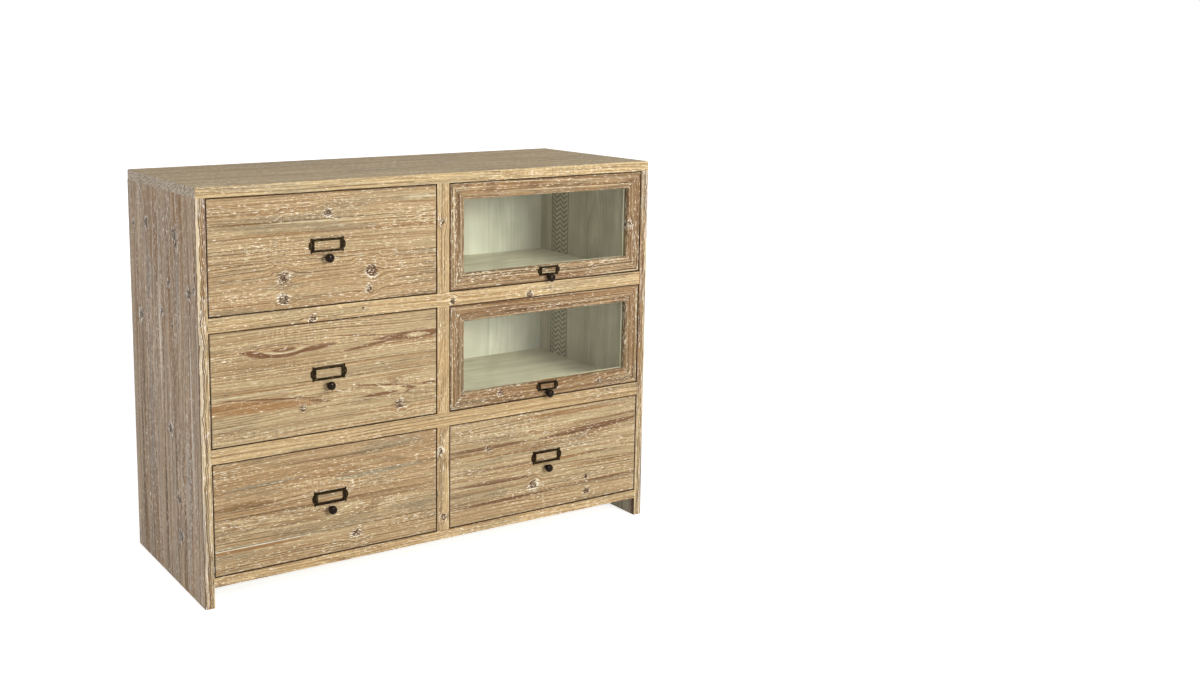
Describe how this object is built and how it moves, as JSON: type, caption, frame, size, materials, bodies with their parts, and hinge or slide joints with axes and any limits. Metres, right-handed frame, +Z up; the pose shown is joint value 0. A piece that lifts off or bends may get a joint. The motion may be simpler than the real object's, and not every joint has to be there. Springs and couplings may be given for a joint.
{
  "type": "apothecary chest",
  "caption": "Floor-standing pine apothecary chest with inset drawers, glazed lift-up flaps, card holders and small round knobs.",
  "frame": {"origin": "on the floor, under the middle of the chest's bounding box", "axes": "+X to the viewer's right along the width, -Y out of the front, +Z up"},
  "size_m": [1.1, 0.439, 0.85],
  "materials": {
    "limed_pine": "brushed old pine with white lime in the grain",
    "painted_pine": "thin off-white paint over pine",
    "plain_pine": "bare planed pine",
    "plywood": "bare plywood",
    "bronzed_brass": "dark bronzed, semi-gloss",
    "steel": "plain zinc-plated steel",
    "glass": "clear float glass"
  },
  "bodies": {
    "carcass": {"top_board": "limed_pine", "left_side_panel": "limed_pine", "right_side_panel": "limed_pine", "back_panel": "painted_pine", "base_board": "painted_pine", "centre_partition": "painted_pine", "shelves": "painted_pine", "bottom_rail": "limed_pine", "cross_rails": "limed_pine", "centre_stiles": "limed_pine", "drawer_runners": "plain_pine", "drawer_stops": "plain_pine", "door_stops": "painted_pine", "top_dowels": "plain_pine", "back_screws": "steel", "pivot_pins": "steel"},
    "lower_left_drawer": {"lower_left_drawer_front": "limed_pine", "lower_left_drawer_sides": "plain_pine", "lower_left_drawer_back": "plain_pine", "lower_left_drawer_bottom": "plywood", "lower_left_drawer_card_holder": "bronzed_brass", "lower_left_drawer_knob": "bronzed_brass", "lower_left_drawer_fixings": "steel"},
    "middle_drawer": {"middle_drawer_front": "limed_pine", "middle_drawer_sides": "plain_pine", "middle_drawer_back": "plain_pine", "middle_drawer_bottom": "plywood", "middle_drawer_card_holder": "bronzed_brass", "middle_drawer_knob": "bronzed_brass", "middle_drawer_fixings": "steel"},
    "upper_drawer": {"upper_drawer_front": "limed_pine", "upper_drawer_sides": "plain_pine", "upper_drawer_back": "plain_pine", "upper_drawer_bottom": "plywood", "upper_drawer_card_holder": "bronzed_brass", "upper_drawer_knob": "bronzed_brass", "upper_drawer_fixings": "steel"},
    "lower_right_drawer": {"lower_right_drawer_front": "limed_pine", "lower_right_drawer_sides": "plain_pine", "lower_right_drawer_back": "plain_pine", "lower_right_drawer_bottom": "plywood", "lower_right_drawer_card_holder": "bronzed_brass", "lower_right_drawer_knob": "bronzed_brass", "lower_right_drawer_fixings": "steel"},
    "middle_door": {"middle_door_top_rail": "limed_pine", "middle_door_bottom_rail": "limed_pine", "middle_door_stiles": "limed_pine", "middle_door_glass": "glass", "middle_door_beads": "painted_pine", "middle_door_card_holder": "bronzed_brass", "middle_door_knob": "bronzed_brass", "middle_door_fixings": "steel"},
    "upper_door": {"upper_door_top_rail": "limed_pine", "upper_door_bottom_rail": "limed_pine", "upper_door_stiles": "limed_pine", "upper_door_glass": "glass", "upper_door_beads": "painted_pine", "upper_door_card_holder": "bronzed_brass", "upper_door_knob": "bronzed_brass", "upper_door_fixings": "steel"}
  },
  "joints": [
    {"name": "lower_left_drawer_slide", "type": "slide", "parent": "carcass", "child": "lower_left_drawer", "axis": [0, -1, 0], "range_m": [0, 0.3]},
    {"name": "middle_drawer_slide", "type": "slide", "parent": "carcass", "child": "middle_drawer", "axis": [0, -1, 0], "range_m": [0, 0.3]},
    {"name": "upper_drawer_slide", "type": "slide", "parent": "carcass", "child": "upper_drawer", "axis": [0, -1, 0], "range_m": [0, 0.3]},
    {"name": "lower_right_drawer_slide", "type": "slide", "parent": "carcass", "child": "lower_right_drawer", "axis": [0, -1, 0], "range_m": [0, 0.3]},
    {"name": "middle_door_lift", "type": "hinge", "parent": "carcass", "child": "middle_door", "pos_m": [0.2725, -0.1955, 0.5558], "axis": [-1, 0, 0], "range_deg": [0, 90]},
    {"name": "upper_door_lift", "type": "hinge", "parent": "carcass", "child": "upper_door", "pos_m": [0.2725, -0.1955, 0.8208], "axis": [-1, 0, 0], "range_deg": [0, 90]}
  ]
}
